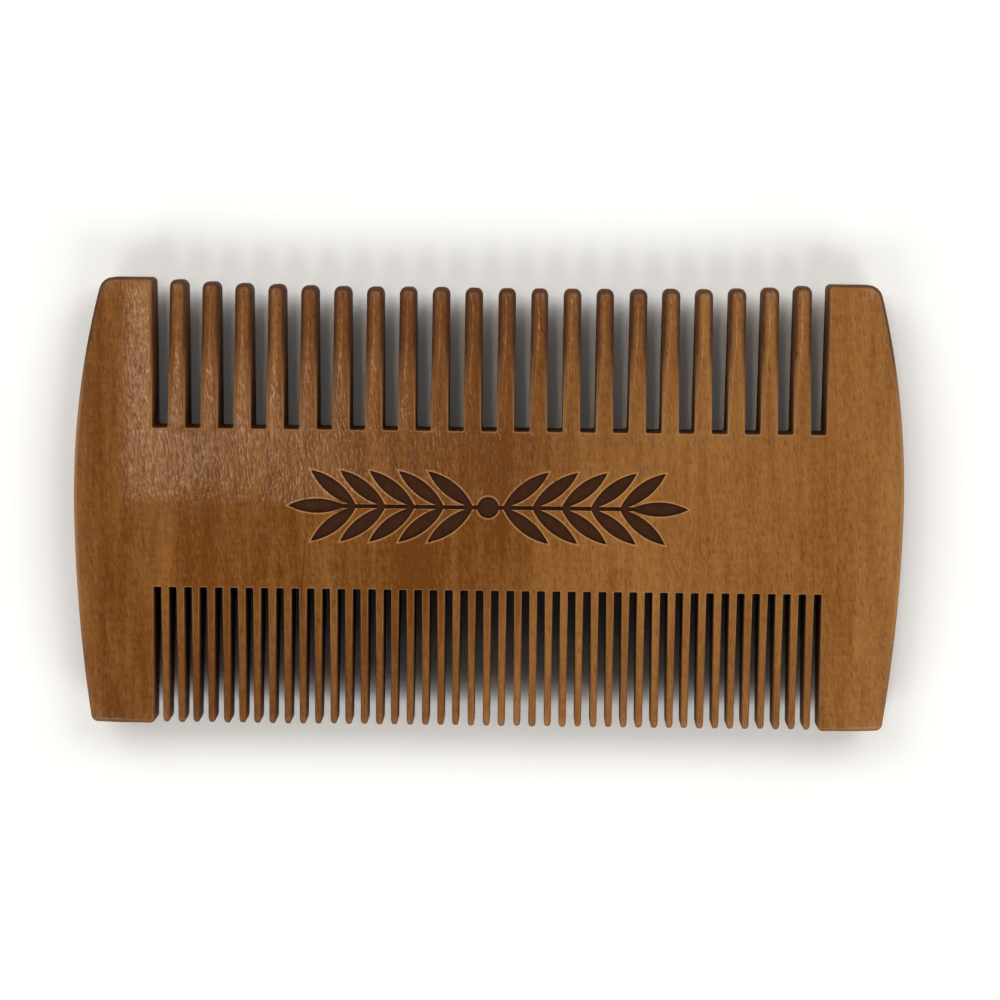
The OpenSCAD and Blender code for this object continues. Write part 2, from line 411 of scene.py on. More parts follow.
def grid_inside(loop):
    """Points of a square grid inside a closed loop, at least half a step away from it."""
    start = np.array(loop)
    end = np.roll(start, -1, axis=0)
    along = end - start
    low, high = start.min(0), start.max(0)
    columns = np.arange(low[0], high[0], GRID_STEP)
    rows = np.arange(low[1], high[1], GRID_STEP)
    points = np.stack(np.meshgrid(columns, rows), -1).reshape(-1, 1, 2)
    share = ((points - start) * along).sum(-1) / (along ** 2).sum(-1)
    nearest = start + np.clip(share, 0, 1)[..., None] * along
    gap = np.linalg.norm(points - nearest, axis=-1).min(1)
    x, y = points[..., 0], points[..., 1]
    rise = np.where(along[:, 1] == 0, 1, along[:, 1])
    crosses = (start[:, 1] > y) != (end[:, 1] > y)
    crosses &= x < start[:, 0] + (y - start[:, 1]) / rise * along[:, 0]
    inside = (crosses.sum(1) % 2 == 1) & (gap > GRID_STEP / 2)
    return [Vector(p) for p in points[inside, 0]]


class Plate:
    """A closed plate between two crowned faces, cut to an outline, with eased edges."""

    def __init__(self, shape, corners, ease):
        self.shape = shape
        self.points = trace(corners)
        self.ease = ease
        self.verts, self.faces, self.carved = [], [], []
        self.scorched = set()

    def vert(self, x, y, depth, upper):
        """Adds a point at x, y, depth below the upper face or above the lower one."""
        z = depth + face_drop(self.shape, x, y)
        self.verts.append((x, y, THICKNESS - z if upper else z))
        return len(self.verts) - 1

    def face(self, *corners, carved=False):
        """Adds a face, without its repeated corners."""
        kept = [c for i, c in enumerate(corners) if c != corners[i - 1]]
        if len(kept) > 2:
            self.faces.append(kept)
            self.carved.append(carved)

    def edge_profiles(self, upper):
        """For each outline point, its points from the wall over the eased edge onto the face."""
        profiles = []
        for (at, _), direction in zip(self.points, ease_directions(self.points)):
            if direction is None:
                profiles.append([self.vert(at.x, at.y, 0, upper)] * (EASE_STEPS + 1))
                continue
            radius = self.ease(at)
            profile = []
            for step in range(EASE_STEPS + 1):
                turn = math.pi / 2 * step / EASE_STEPS
                place = at + direction * radius * (1 - math.cos(turn))
                profile.append(self.vert(place.x, place.y, radius * (1 - math.sin(turn)), upper))
            profiles.append(profile)
        return profiles

    def cover(self, profiles, upper, strokes=(), halos=(), depth=0.0):
        """Fills one face inside its eased edges, and carves the strokes to a depth."""
        rim = [profile[-1] for profile in profiles]
        places = [Vector(self.verts[v][:2]) for v in rim]
        loops = [list(range(len(rim)))]
        for polygon in (*strokes, *halos):
            loops.append(list(range(len(places), len(places) + len(polygon))))
            places += polygon
        places += grid_inside([self.verts[v][:2] for v in rim])
        found, _, triangles, sources, _, owners = delaunay_2d_cdt(places, [], loops, 0, SAME_POINT, True)
        known = {out: rim[i] for out, ins in enumerate(sources) for i in ins if i < len(rim)}
        low = {}
        edges = {}
        for triangle, owner in zip(triangles, owners):
            if 0 not in owner:
                continue
            carved = any(1 <= o <= len(strokes) for o in owner)
            for v in triangle:
                if v not in known:
                    known[v] = self.vert(*found[v], 0, upper)
                if carved and v not in low:
                    low[v] = self.vert(*found[v], depth, upper)
            level = low if carved else known
            corners = [level[v] for v in triangle]
            self.face(*(corners if upper else reversed(corners)), carved=carved)
            for a, b in zip(triangle, triangle[1:] + triangle[:1]):
                edges[a, b] = carved
        for (a, b), carved in edges.items():
            if carved and edges.get((b, a)) is False:
                self.face(known[a], known[b], low[b], low[a], carved=True)
                self.scorched.update((known[a], known[b]))

    def mesh(self, name, strokes=(), halos=(), depth=0.0):
        """The finished mesh. Its first material is the wood, its second the carved strokes."""
        tops, bottoms = self.edge_profiles(True), self.edge_profiles(False)
        for i, (_, joint) in enumerate(self.points):
            j = (i + 1) % len(self.points)
            if joint:
                self.face(bottoms[i][-1], *reversed(bottoms[j]), *tops[j], *reversed(tops[i]), *bottoms[i])
                continue
            self.face(bottoms[i][0], bottoms[j][0], tops[j][0], tops[i][0])
            for k in range(EASE_STEPS):
                self.face(tops[i][k], tops[j][k], tops[j][k + 1], tops[i][k + 1])
                self.face(bottoms[i][k + 1], bottoms[j][k + 1], bottoms[j][k], bottoms[i][k])
        self.cover(tops, True, strokes, halos, depth)
        self.cover(bottoms, False)
        used = sorted({v for face in self.faces for v in face})
        new = {v: i for i, v in enumerate(used)}
        mesh = bpy.data.meshes.new(name)
        mesh.from_pydata([self.verts[v] for v in used], [], [[new[v] for v in f] for f in self.faces])
        mesh.polygons.foreach_set("material_index", self.carved)
        scorch = mesh.attributes.new("scorch", "FLOAT", "POINT")
        scorch.data.foreach_set("value", [float(v in self.scorched) for v in used])
        mesh.update()
        return mesh


def mirrored(mesh, name):
    """The mirror image of a mesh across the comb's middle, with its faces turned right side out."""
    twin = mesh.copy()
    twin.name = name
    twin.transform(Matrix.Scale(-1, 4, (1, 0, 0)))
    twin.flip_normals()
    return twin


# ---------------------------------------------------------------- the engraved sprig

def leaf_outline(sprig, grow):
    """A pointed leaf along +X from the origin, between two arcs, its edge moved out by grow."""
    arc_radius = (sprig.leaf_length ** 2 + sprig.leaf_width ** 2) / (4 * sprig.leaf_width)
    away = arc_radius - sprig.leaf_width / 2
    half_turn = math.acos(away / (arc_radius + grow))
    outline = []
    for side in (1, -1):
        for step in range(LEAF_STEPS):
            turn = half_turn * (1 - 2 * step / LEAF_STEPS)
            outline.append(Vector((sprig.leaf_length / 2 + side * (arc_radius + grow) * math.sin(turn),
                                   side * ((arc_radius + grow) * math.cos(turn) - away))))
    return outline


def sprig_outlines(sprig, grow=0.0):
    """Outlines of the berry, the stem and every leaf, each moved out by grow."""
    radius = sprig.berry / 2 + grow
    turns = [math.tau * i / BERRY_STEPS for i in range(BERRY_STEPS)]
    outlines = [[Vector((radius * math.cos(t), radius * math.sin(t))) for t in turns]]
    branch_end = sprig.leaf_spacing * sprig.leaf_pairs
    half = sprig.stem_width / 2 + grow
    outlines.append([Vector((x * branch_end, y * half)) for x, y in ((-1, -1), (1, -1), (1, 1), (-1, 1))])
    leaf = leaf_outline(sprig, grow)
    places = [(branch_end - sprig.stem_width, 0.0)]
    for pair in range(sprig.leaf_pairs):
        base = sprig.leaf_spacing * (pair + 0.5)
        places += [(base, sprig.leaf_angle), (base, -sprig.leaf_angle)]
    for base, angle in places:
        for half_turn in (0.0, math.pi):
            turn = Matrix.Rotation(angle + half_turn, 2)
            foot = Vector((base * math.cos(half_turn), 0.0))
            outlines.append([turn @ point + foot for point in leaf])
    # Rounded, so that leaves with a common foot share exactly the same point
    return [[Vector([round(c, SAME_DECIMALS) for c in point]) for point in outline]
            for outline in outlines]


# ---------------------------------------------------------------- the teeth, by Geometry Nodes

# Points round a tooth, in four equal corners, and rings along its shaft and round its tip
CORNER_POINTS = EASE_STEPS + 1
RING_POINTS = 4 * CORNER_POINTS
SHAFT_RINGS = 14
TIP_RINGS = 6
# Largest share of a tooth's half width that the rounding of its edges takes
MOST_ROUND = 0.92

# The inputs of the tooth run, by kind of socket
TOOTH_INPUTS = {
    "NodeSocketInt": ("first tooth", "teeth", "seed"),
    "NodeSocketFloat": (
        "first x", "pitch", "side", "root", "tip", "root width", "tip width", "thickness", "ridge",
        "slope", "crown radius", "root ease", "ease length", "tip corner", "tip rounding", "wander",
    ),
    "NodeSocketMaterial": ("material",),
}

# The tooth's arithmetic. Each step is a name, an operation, and what it works on: numbers, inputs or
# earlier steps. MULTIPLY_ADD multiplies the first two and adds the third.
TOOTH_STEPS = (
    # Which point of the blank cylinder a vertex is: its spread is 0 on the axis and 1 on a ring
    ("x squared", "MULTIPLY", "blank x", "blank x"),
    ("radius squared", "MULTIPLY_ADD", "blank y", "blank y", "x squared"),
    ("spread", "ROUND", "radius squared"),
    ("angle", "ARCTAN2", "blank y", "blank x"),
    ("place", "MULTIPLY", "angle", RING_POINTS / math.tau),
    ("whole place", "ROUND", "place"),
    ("point", "WRAP", "whole place", RING_POINTS, 0),
    ("point share", "MULTIPLY_ADD", "point", 1 / CORNER_POINTS, 0.5 / CORNER_POINTS),
    ("corner", "FLOOR", "point share"),
    ("corner point", "MULTIPLY_ADD", "corner", -CORNER_POINTS, "point"),
    ("quarter turns", "MULTIPLY_ADD", "corner point", 1 / EASE_STEPS, "corner"),
    ("turn", "MULTIPLY", "quarter turns", math.pi / 2),
    ("turn cosine", "COSINE", "turn"),
    ("turn sine", "SINE", "turn"),
    ("middle", "MULTIPLY_ADD", "corner", math.pi / 2, math.pi / 4),
    ("middle cosine", "COSINE", "middle"),
    ("middle sine", "SINE", "middle"),
    ("right", "SIGN", "middle cosine"),
    ("up", "SIGN", "middle sine"),
    ("height", "ADD", "blank z", 0.5),
    ("height in rings", "MULTIPLY", "height", SHAFT_RINGS + TIP_RINGS),
    ("ring", "ROUND", "height in rings"),
    ("rings up the shaft", "DIVIDE", "ring", SHAFT_RINGS),
    ("shaft", "MINIMUM", "rings up the shaft", 1.0),
    ("rings past the shaft", "SUBTRACT", "ring", SHAFT_RINGS),
    ("tip rings", "MAXIMUM", "rings past the shaft", 0.0),
    ("tip turn", "MULTIPLY", "tip rings", math.pi / 2 / TIP_RINGS),
    ("tip sine", "SINE", "tip turn"),
    ("tip cosine", "COSINE", "tip turn"),
    ("shrink", "SUBTRACT", "tip cosine", 1.0),
    # How far from the comb's middle line its ring lies, and how far the crown has dropped there
    ("long", "SUBTRACT", "tip", "root"),
    ("straight", "SUBTRACT", "long", "tip rounding"),
    ("own straight", "MULTIPLY_ADD", "draw 1", "wander", "straight"),
    ("shaft reach", "MULTIPLY_ADD", "own straight", "shaft", "root"),
    ("reach", "MULTIPLY_ADD", "tip sine", "tip rounding", "shaft reach"),
    ("past root", "SUBTRACT", "reach", "root"),
    ("ridge squared", "MULTIPLY", "ridge", "ridge"),
    ("reach squared", "MULTIPLY", "reach", "reach"),
    ("both squared", "ADD", "reach squared", "ridge squared"),
    ("from ridge", "SQRT", "both squared"),
    ("down the slope", "SUBTRACT", "from ridge", "ridge"),
    ("twice crown radius", "ADD", "crown radius", "crown radius"),
    ("crown drop", "DIVIDE", "reach squared", "twice crown radius"),
    ("drop", "MULTIPLY_ADD", "down the slope", "slope", "crown drop"),
    # The ring's half width and half thickness, and the rounding of its edges
    ("share", "DIVIDE", "past root", "ease length"),
    ("grown", "MINIMUM", "share", 1.0),
    ("own wander", "MULTIPLY", "grown", "wander"),
    ("narrowing", "SUBTRACT", "tip width", "root width"),
    ("tapered width", "MULTIPLY_ADD", "narrowing", "shaft", "root width"),
    ("width", "MULTIPLY_ADD", "draw 2", "own wander", "tapered width"),
    ("half shaft width", "MULTIPLY", "width", 0.5),
    ("half width", "MULTIPLY_ADD", "shrink", "tip corner", "half shaft width"),
    ("half blank", "MULTIPLY", "thickness", 0.5),
    ("half crowned", "SUBTRACT", "half blank", "drop"),
    ("half thickness", "MULTIPLY_ADD", "shrink", "tip rounding", "half crowned"),
    ("most ease", "MULTIPLY", "half width", MOST_ROUND),
    ("ease growth", "SUBTRACT", "most ease", "root ease"),
    ("grown ease", "MULTIPLY_ADD", "ease growth", "grown", "root ease"),
    ("ease", "MINIMUM", "grown ease", "most ease"),
    # The vertex on that rounded rectangle, and its tooth's place in the row
    ("flat width", "SUBTRACT", "half width", "ease"),
    ("flat thickness", "SUBTRACT", "half thickness", "ease"),
    ("corner x", "MULTIPLY", "right", "flat width"),
    ("corner z", "MULTIPLY", "up", "flat thickness"),
    ("out", "MULTIPLY_ADD", "turn cosine", "ease", "corner x"),
    ("rise", "MULTIPLY_ADD", "turn sine", "ease", "corner z"),
    ("own out", "MULTIPLY", "out", "spread"),
    ("own rise", "MULTIPLY", "rise", "spread"),
    ("centre", "MULTIPLY_ADD", "tooth", "pitch", "first x"),
    ("own centre", "MULTIPLY_ADD", "draw 3", "own wander", "centre"),
    ("x", "MULTIPLY_ADD", "own out", "side", "own centre"),
    ("y", "MULTIPLY", "reach", "side"),
    ("z", "SUBTRACT", "half blank", "own rise"),
)


def tooth_run_tree():
    """A run of neighbouring teeth along X. Each starts as a closed blank cylinder, whose rings are
    laid along Y from root to tip as rounded rectangles that thin with the crown and grow rounder."""
    tree = bpy.data.node_groups.new("Tooth run", "GeometryNodeTree")
    for kind, names in TOOTH_INPUTS.items():
        for name in names:
            tree.interface.new_socket(name, in_out="INPUT", socket_type=kind)
    tree.interface.new_socket("Geometry", in_out="OUTPUT", socket_type="NodeSocketGeometry")
    known = {socket.name: socket for socket in add(tree, "NodeGroupInput").outputs if socket.name}

    number = add(tree, "ShaderNodeMath", [add(tree, "GeometryNodeInputIndex"), known["first tooth"]])
    draws = add(tree, "FunctionNodeRandomValue",
                {"Min": (-1, -1, -1), "Max": (1, 1, 1), "ID": number, "Seed": known["seed"]},
                data_type="FLOAT_VECTOR")
    points = add(tree, "GeometryNodePoints", {"Count": known["teeth"]})
    numbered = add(tree, "GeometryNodeCaptureAttribute", {"Geometry": points}, domain="POINT")
    for kind, name, source in (("FLOAT", "tooth", number), ("VECTOR", "draws", draws)):
        numbered.capture_items.new(kind, name)
        tree.links.new(source.outputs[0], numbered.inputs[name])
    blank = add(tree, "GeometryNodeMeshCylinder",
                {"Vertices": RING_POINTS, "Side Segments": SHAFT_RINGS + TIP_RINGS,
                 "Fill Segments": 1, "Radius": 1.0, "Depth": 1.0}, fill_type="TRIANGLE_FAN")
    placed = add(tree, "GeometryNodeInstanceOnPoints", {"Points": numbered, "Instance": blank})
    solid = add(tree, "GeometryNodeRealizeInstances", {"Geometry": placed})

    start = add(tree, "ShaderNodeSeparateXYZ", [add(tree, "GeometryNodeInputPosition")])
    draw = add(tree, "ShaderNodeSeparateXYZ", [numbered.outputs["draws"]])
    known["tooth"] = numbered.outputs["tooth"]
    known.update(zip(("blank x", "blank y", "blank z"), start.outputs))
    known.update(zip(("draw 1", "draw 2", "draw 3"), draw.outputs))
    work_out(tree, known, TOOTH_STEPS)
    position = add(tree, "ShaderNodeCombineXYZ", [known["x"], known["y"], known["z"]])
    shaped = add(tree, "GeometryNodeSetPosition", {"Geometry": solid, "Position": position})
    whole = add(tree, "GeometryNodeRealizeInstances", {"Geometry": shaped})
    painted = add(tree, "GeometryNodeSetMaterial", {"Geometry": whole, "Material": known["material"]})
    add(tree, "NodeGroupOutput", {"Geometry": painted})
    return tree


def tooth_run_mesh(tree, name, values):
    """The plain mesh that the tree makes from these values, given by the names of its inputs."""
    holder = bpy.data.objects.new(name, bpy.data.meshes.new(name))
    bpy.context.scene.collection.objects.link(holder)
    modifier = holder.modifiers.new("Tooth run", "NODES")
    modifier.node_group = tree
    for item in tree.interface.items_tree:
        if item.in_out == "INPUT":
            modifier[item.identifier] = values[item.name]
    evaluated = holder.evaluated_get(bpy.context.evaluated_depsgraph_get())
    mesh = bpy.data.meshes.new_from_object(evaluated)
    mesh.name = name
    holder.modifiers.remove(modifier)
    bpy.data.objects.remove(holder)
    return mesh


# ---------------------------------------------------------------- materials

def new_material(name):
    """An empty node material, with its tree and its shader."""
    material = bpy.data.materials.new(name)
    material.use_nodes = True
    tree = material.node_tree
    tree.nodes.clear()
    shader = add(tree, "ShaderNodeBsdfPrincipled")
    add(tree, "ShaderNodeOutputMaterial", {"Surface": shader})
    return material, tree, shader


def pattern(tree, place, size, lean=0.0, offset=0.0, detail=2.0):
    """Noise whose grains measure about size, three lengths in millimetres, and lean about Z."""
    scaled = add(tree, "ShaderNodeMapping",
                 [place, (offset, offset, offset), (0.0, 0.0, lean), [s * MM for s in size]],
                 vector_type="TEXTURE")
    return add(tree, "ShaderNodeTexNoise", {"Vector": scaled, "Scale": 1.0, "Detail": detail}).outputs[0]


def work_out(tree, known, steps):
    """Adds the arithmetic of a table of steps, and keeps each result in known by its name. A RAMP
    rises from 0 to 1 while its first value goes from its second to its third."""
    for name, operation, *operands in steps:
        values = [known.get(o, o) for o in operands]
        if operation == "RAMP":
            known[name] = add(tree, "ShaderNodeMapRange", values).outputs[0]
        else:
            known[name] = add(tree, "ShaderNodeMath", values, operation=operation).outputs[0]


# Heights of what the light catches: a fibre that stands proud, a charred ridge, and the paper's tooth
PROUD_FIBRE = 0.026 * MM
CHAR_RIDGE = 0.1 * MM
PAPER_TOOTH = 0.02 * MM
PAPER_TOOTH_STRENGTH = 0.3
# The grain runs along Y, and leans a few degrees. The noises swing by about a quarter round 0.5.
GRAIN_LEAN = math.radians(8)
WOOD_PATTERNS = {
    # Broad bands of growth, a few millimetres wide
    "bands": dict(size=(7, 90, 9), lean=0.03, offset=0.013),
    "streaks": dict(size=(1.1, 14, 2), lean=0.02, offset=0.021, detail=3.0),
    # Bundles of fibres: the real ones are finer than 0.1 mm, drawn coarser so that they show
    "fibres": dict(size=(0.26, 1.1, 0.4), lean=GRAIN_LEAN, offset=0.034),
    # Pores cut open lengthwise
    "pores": dict(size=(0.17, 1.0, 0.25), lean=GRAIN_LEAN, offset=0.055, detail=1.0),
    # Ray flecks lie across the grain
    "flecks": dict(size=(2.4, 0.5, 2.4), offset=0.089),
    # What sanding leaves: fibres that stand a little proud, and the sander's slow waves
    "proud fibres": dict(size=(0.3, 0.8, 0.5), lean=GRAIN_LEAN, offset=0.144, detail=1.0),
    "waves": dict(size=(9, 7, 9), lean=0.5, offset=0.233, detail=1.0),
}
WOOD_STEPS = (
    ("bands swing", "SUBTRACT", "bands", 0.5),
    ("streaks swing", "SUBTRACT", "streaks", 0.5),
    ("fibres swing", "SUBTRACT", "fibres", 0.5),
    ("flecks swing", "SUBTRACT", "flecks", 0.5),
    ("proud swing", "SUBTRACT", "proud fibres", 0.5),
    # The blank runs from heartwood into paler sapwood at +X, and is a little paler at -X too
    ("border x", "MULTIPLY_ADD", "y", -0.6, "x"),
    ("sapwood side", "RAMP", "border x", -2 * MM, 17 * MM),
    ("left side", "RAMP", "x", -12 * MM, -45 * MM),
    ("right tone", "MULTIPLY_ADD", "sapwood side", 0.5, 0.06),
    ("base tone", "MULTIPLY_ADD", "left side", 0.18, "right tone"),
    ("banded", "MULTIPLY_ADD", "bands swing", 0.8, "base tone"),
    ("streaked", "MULTIPLY_ADD", "streaks swing", 0.8, "banded"),
    ("flecked", "MULTIPLY_ADD", "flecks swing", 0.3, "streaked"),
    ("tone", "MULTIPLY_ADD", "fibres swing", 0.7, "flecked"),
    # Rounded edges beside the roots are paler, partly sander wear and partly a painted highlight. On the
    # coarse side they get painted shade from there to the tips, and the steep walls get painted shade too.
    ("facing", "ABSOLUTE", "normal z"),
    ("rim", "RAMP", "facing", 0.98, 0.70),
    ("wall", "RAMP", "facing", 0.5, 0.25),
    ("from middle", "ABSOLUTE", "y"),
    ("near roots", "RAMP", "from middle", 19 * MM, 11 * MM),
    ("near tips", "RAMP", "y", 11 * MM, 20 * MM),
    ("edge", "SUBTRACT", "rim", "wall"),
    # Painted highlight, partly sander wear, on rounded edges beside the roots
    ("edge wear and highlight", "MULTIPLY", "edge", "near roots"),
    ("edge wear and highlight share", "MULTIPLY", "edge wear and highlight", 0.5),
    # Painted shade on rounded edges towards the coarse tips and on the steep walls
    ("tip rim painted shade", "MULTIPLY", "rim", "near tips"),
    ("wall painted shade", "MULTIPLY", "wall", 0.6),
    ("painted rim and wall shade", "MAXIMUM", "tip rim painted shade", "wall painted shade"),
    # Open pores are the low end of their noise
    ("pore", "RAMP", "pores", 0.44, 0.3),
    ("pore shade", "MULTIPLY", "pore", 0.4),
    # Pores together with the painted shade of rims and walls
    ("pores and painted shade", "MULTIPLY_ADD", "painted rim and wall shade", 0.75, "pore shade"),
    # A dark mineral line as thin as a hair, left of the middle and into the fine teeth
    ("leaning x", "MULTIPLY_ADD", "y", -0.07, "x"),
    ("past line", "ADD", "leaning x", 21.6 * MM),
    ("off line", "ABSOLUTE", "past line"),
    ("on line", "RAMP", "off line", 0.14 * MM, 0.05 * MM),
    ("line start", "RAMP", "y", -3 * MM, -6 * MM),
    ("line end", "RAMP", "y", -22 * MM, -16 * MM),
    ("line length", "MULTIPLY", "line start", "line end"),
    ("line", "MULTIPLY", "on line", "line length"),
    # Pores, the mineral line and the painted shade, all towards the fibre colour
    ("shade", "MULTIPLY_ADD", "line", 0.6, "pores and painted shade"),
    # The laser's pale halo, and the painted highlight on edges beside the roots
    ("scorch shade", "MULTIPLY", "scorch", 0.85),
    ("halo and edge highlight", "MAXIMUM", "scorch shade", "edge wear and highlight share"),
    # Faces are polished, some fibres more than others; the sawn walls stay rough
    ("polish", "MULTIPLY_ADD", "rim", 0.6, 0.17),
    ("roughness", "MULTIPLY_ADD", "proud swing", 0.5, "polish"),
    # Heights in units of a proud fibre; the sander's waves are three times as tall
    ("fibre height", "MULTIPLY_ADD", "pore", -0.3, "proud fibres"),
    ("height", "MULTIPLY_ADD", "waves", 3.0, "fibre height"),
)


def oiled_fruitwood(finish):
    """Pear or a close fruitwood, sanded along the grain and oiled. Its pores are too fine to see one
    by one, so the eye gets an even reddish brown with short streaks, and a satin sheen that breaks
    up into specks where the fibres stand proud."""
    material, tree, shader = new_material("oiled_fruitwood")
    place = add(tree, "ShaderNodeTexCoord").outputs["Object"]
    known = {name: pattern(tree, place, **look) for name, look in WOOD_PATTERNS.items()}
    known.update(zip("xyz", add(tree, "ShaderNodeSeparateXYZ", [place]).outputs))
    turned = add(tree, "ShaderNodeTexCoord").outputs["Normal"]
    known["normal z"] = add(tree, "ShaderNodeSeparateXYZ", [turned]).outputs[2]
    known["scorch"] = add(tree, "ShaderNodeAttribute", attribute_name="scorch").outputs["Fac"]
    work_out(tree, known, WOOD_STEPS)
    # Tone, then pores, the mineral line and painted shade, then the halo and a painted highlight on edges
    wood = finish.heartwood
    for share, colour in (("tone", finish.sapwood), ("shade", finish.fibre_and_painted_shade), ("halo and edge highlight", finish.pale)):
        mix = add(tree, "ShaderNodeMix", {"Factor": known[share], "A": wood, "B": colour}, data_type="RGBA")
        wood = mix.outputs["Result"]
    bump = add(tree, "ShaderNodeBump", {"Distance": PROUD_FIBRE, "Height": known["height"]})
    tree.links.new(wood, shader.inputs["Base Color"])
    tree.links.new(known["roughness"], shader.inputs["Roughness"])
    tree.links.new(bump.outputs[0], shader.inputs["Normal"])
    shader.inputs["Specular IOR Level"].default_value = 0.25
    return material


def charred_fruitwood(finish):
    """The same wood burnt by the laser: dark brown, dull, and brittle along the grain."""
    material, tree, shader = new_material("laser_charred_fruitwood")
    place = add(tree, "ShaderNodeTexCoord").outputs["Object"]
    known = {"fibres": pattern(tree, place, size=(0.2, 1.2, 0.3), detail=3.0),
             "ash": pattern(tree, place, size=(1.2, 1.2, 1.2), offset=0.02)}
    work_out(tree, known, (
        ("both", "ADD", "fibres", "ash"),
        ("burn", "SUBTRACT", "both", 0.55),
    ))
    mix = add(tree, "ShaderNodeMix", {"Factor": known["burn"], "A": finish.char, "B": finish.fibre_and_painted_shade},
              data_type="RGBA")
    bump = add(tree, "ShaderNodeBump", {"Distance": CHAR_RIDGE, "Height": known["fibres"]})
    tree.links.new(mix.outputs["Result"], shader.inputs["Base Color"])
    tree.links.new(bump.outputs[0], shader.inputs["Normal"])
    shader.inputs["Roughness"].default_value = 0.75
    shader.inputs["Specular IOR Level"].default_value = 0.1
    return material


def matte_paper(finish):
    """A roll of white studio paper: flat, dull and even, with a faint tooth."""
    material, tree, shader = new_material("matte_studio_paper")
    place = add(tree, "ShaderNodeTexCoord").outputs["Object"]
    tooth = pattern(tree, place, size=(0.5, 0.5, 0.5))
    bump = add(tree, "ShaderNodeBump",
               {"Strength": PAPER_TOOTH_STRENGTH, "Distance": PAPER_TOOTH, "Height": tooth})
    tree.links.new(bump.outputs[0], shader.inputs["Normal"])
    shader.inputs["Base Color"].default_value = finish.floor
    shader.inputs["Roughness"].default_value = 0.9
    shader.inputs["Specular IOR Level"].default_value = 0.1
    return material


# The materials made so far, by the function that made each
MATERIALS = {}


def shared_material(make, finish):
    """The material that a function makes, made once and then kept for every piece."""
    if make not in MATERIALS:
        MATERIALS[make] = make(finish)
    return MATERIALS[make]


# ---------------------------------------------------------------- operators

class COMB_OT_spine(bpy.types.Operator):
    """Make the spine, with the roots of all the teeth and the engraved sprig"""
    bl_idname = "comb.make_spine"
    bl_label = "Spine"

    def execute(self, context):
        settings = context.scene.comb
        shape, sprig = settings.shape, settings.sprig
        plate = Plate(shape, spine_outline(shape),
                      lambda at: shape.coarse_ease if at.y > 0 else shape.fine_ease)
        mesh = plate.mesh("spine_wood", sprig_outlines(sprig), sprig_outlines(sprig, sprig.halo), sprig.depth)
        materials = [shared_material(make, settings.finish) for make in (oiled_fruitwood, charred_fruitwood)]
        finish_piece("spine_wood", mesh, ["spine"], materials)
        return {"FINISHED"}


class COMB_OT_guards(bpy.types.Operator):
    """Make the two end guards"""
    bl_idname = "comb.make_end_guards"
    bl_label = "End guards"

    def execute(self, context):
        settings = context.scene.comb
        shape = settings.shape

        def ease(at):
            """Edges beside the teeth are crisp at the root and rounder at the tips, like the teeth."""
            row, crisp = (COARSE, shape.coarse_ease) if at.y > 0 else (FINE, shape.fine_ease)
            to_tip = (abs(at.y) - row.root - shape.stub) / (HALF_HEIGHT - row.root - shape.stub)
            inner = crisp + (shape.inner_ease - crisp) * smooth(to_tip)
            outward = smooth((at.x - row.half_field) / shape.inner_corner - 1)
            return inner + (shape.outer_ease - inner) * outward

        wood = shared_material(oiled_fruitwood, settings.finish)
        mesh = Plate(shape, guard_outline(shape), ease).mesh("end_guard_right_wood")
        finish_piece("end_guard_left_wood", mirrored(mesh, "end_guard_left_wood"), ["end_guard_left"], [wood])
        finish_piece("end_guard_right_wood", mesh, ["end_guard_right"], [wood])
        return {"FINISHED"}


def make_row(settings, row, look):
    """Makes one row's teeth, one piece for each of its nodes."""
    shape = settings.shape
    tree = bpy.data.node_groups.get("Tooth run") or tooth_run_tree()
    for i, node in enumerate(row.nodes):
        first = i * row.per_node
        low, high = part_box(node)
        mesh = tooth_run_mesh(tree, node + "_wood", {
            "first tooth": first,
            "teeth": min(row.per_node, row.count - first),
            "first x": row.first_x,
            "pitch": row.pitch,
            "side": float(row.side),
            "root": row.root + shape.stub,
            "tip": max(abs(low.y), abs(high.y)),
            "root width": row.width,
            "tip width": look.tip_width,
            "thickness": THICKNESS,
            "ridge": shape.ridge,
            "slope": shape.slope,
            "crown radius": shape.crown_radius,
            "root ease": shape.coarse_ease if row.side > 0 else shape.fine_ease,
            "ease length": look.ease_length,
            "tip corner": look.tip_corner,
            "tip rounding": look.tip_rounding,
            "wander": look.wander,
            # Any whole number that differs between the rows
            "seed": row.count,
            "material": shared_material(oiled_fruitwood, settings.finish),
        })
        finish_piece(node + "_wood", mesh, [node])


class COMB_OT_coarse_teeth(bpy.types.Operator):
    """Make the row of coarse teeth"""
    bl_idname = "comb.make_coarse_teeth"
    bl_label = "Coarse teeth"

    def execute(self, context):
        make_row(context.scene.comb, COARSE, context.scene.comb.coarse)
        return {"FINISHED"}


class COMB_OT_fine_teeth(bpy.types.Operator):
    """Make the row of fine teeth"""
    bl_idname = "comb.make_fine_teeth"
    bl_label = "Fine teeth"

    def execute(self, context):
        make_row(context.scene.comb, FINE, context.scene.comb.fine)
        return {"FINISHED"}


def softbox(name, place, size, strength, hex_colour):
    """An area light at a place, facing the comb, whose brightness doesn't depend on its size."""
    back = Vector(place).normalized()
    across = Vector((0.0, 1.0, 0.0)).cross(back).normalized()
    light = bpy.data.lights.new(name, "AREA")
    light.shape = "RECTANGLE"
    light.size, light.size_y = size
    light.energy = strength * math.pi * size[0] * size[1]
    light.color = linear(hex_colour)[:3]
    lamp = bpy.data.objects.new(name, light)
    lamp.location = place
    lamp.rotation_euler = Matrix((across, back.cross(across), back)).transposed().to_euler()
    lamp.visible_camera = False
    bpy.context.scene.collection.objects.link(lamp)


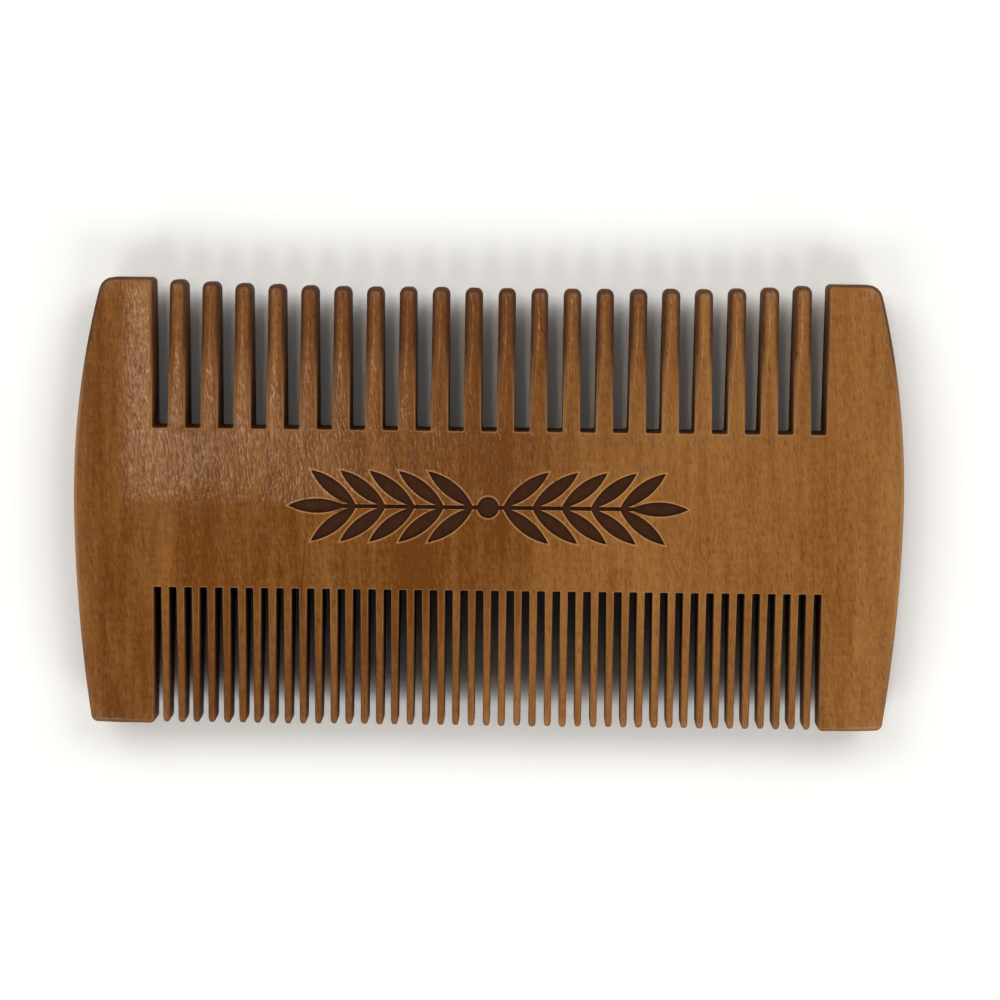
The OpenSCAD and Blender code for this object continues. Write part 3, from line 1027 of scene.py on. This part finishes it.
class COMB_OT_stage(bpy.types.Operator):
    """Make the floor, the lights and the camera"""
    bl_idname = "comb.make_stage"
    bl_label = "Stage"

    def execute(self, context):
        settings = context.scene.comb
        scene = context.scene
        half = FLOOR_HALF
        mesh = bpy.data.meshes.new("floor")
        mesh.from_pydata([(-half, -half, 0), (half, -half, 0), (half, half, 0), (-half, half, 0)],
                         [], [(0, 1, 2, 3)])
        mesh.materials.append(shared_material(matte_paper, settings.finish))
        floor = bpy.data.objects.new("floor", mesh)
        floor.location.z = -FLOOR_GAP
        scene.collection.objects.link(floor)
        for light in SOFTBOXES:
            softbox(*light)

        camera = bpy.data.objects.new("camera", bpy.data.cameras.new("camera"))
        camera.data.lens = CAMERA_LENS
        camera.data.clip_start = CAMERA_NEAR
        camera.location = CAMERA_PLACE
        camera.rotation_mode = "YXZ"
        camera.rotation_euler = CAMERA_TURN
        scene.collection.objects.link(camera)
        scene.camera = camera

        scene.world = bpy.data.worlds.new("studio")
        scene.world.use_nodes = True
        tree = scene.world.node_tree
        tree.nodes.clear()
        # The camera sees a plain pale backdrop, and everything else gets a faint fill of light
        seen = add(tree, "ShaderNodeBackground", {"Color": settings.finish.floor, "Strength": 1.0})
        fill = add(tree, "ShaderNodeBackground", {"Color": settings.finish.floor, "Strength": FILL_STRENGTH})
        rays = add(tree, "ShaderNodeLightPath").outputs["Is Camera Ray"]
        add(tree, "ShaderNodeOutputWorld", [add(tree, "ShaderNodeMixShader", [rays, fill, seen])])
        scene.view_settings.view_transform = "Standard"
        return {"FINISHED"}


class COMB_PT_panel(bpy.types.Panel):
    """The comb's operators and settings, in the sidebar"""
    bl_idname = "COMB_PT_panel"
    bl_label = "Beard comb"
    bl_space_type = "VIEW_3D"
    bl_region_type = "UI"
    bl_category = "Beard comb"

    def draw(self, context):
        for operator in OPERATORS:
            self.layout.operator(operator.bl_idname)
        settings = context.scene.comb
        for group in (settings.shape, settings.coarse, settings.fine, settings.sprig, settings.finish):
            box = self.layout.box()
            for name in group.__annotations__:
                box.prop(group, name)


OPERATORS = (COMB_OT_spine, COMB_OT_guards, COMB_OT_coarse_teeth, COMB_OT_fine_teeth, COMB_OT_stage)
CLASSES = (CombShape, ToothShape, SprigShape, CombFinish, CombSettings, *OPERATORS, COMB_PT_panel)


def register():
    for cls in CLASSES:
        bpy.utils.register_class(cls)
    bpy.types.Scene.comb = PointerProperty(type=CombSettings)


def unregister():
    del bpy.types.Scene.comb
    for cls in reversed(CLASSES):
        bpy.utils.unregister_class(cls)


def main():
    register()
    settings = bpy.context.scene.comb
    for name, value in (("tip_width", 2.06), ("ease_length", 11), ("tip_corner", 0.7), ("tip_rounding", 0.9)):
        setattr(settings.coarse, name, value * MM)
    for operator in OPERATORS:
        group, name = operator.bl_idname.split(".")
        getattr(getattr(bpy.ops, group), name)()


if __name__ == "__main__":
    main()
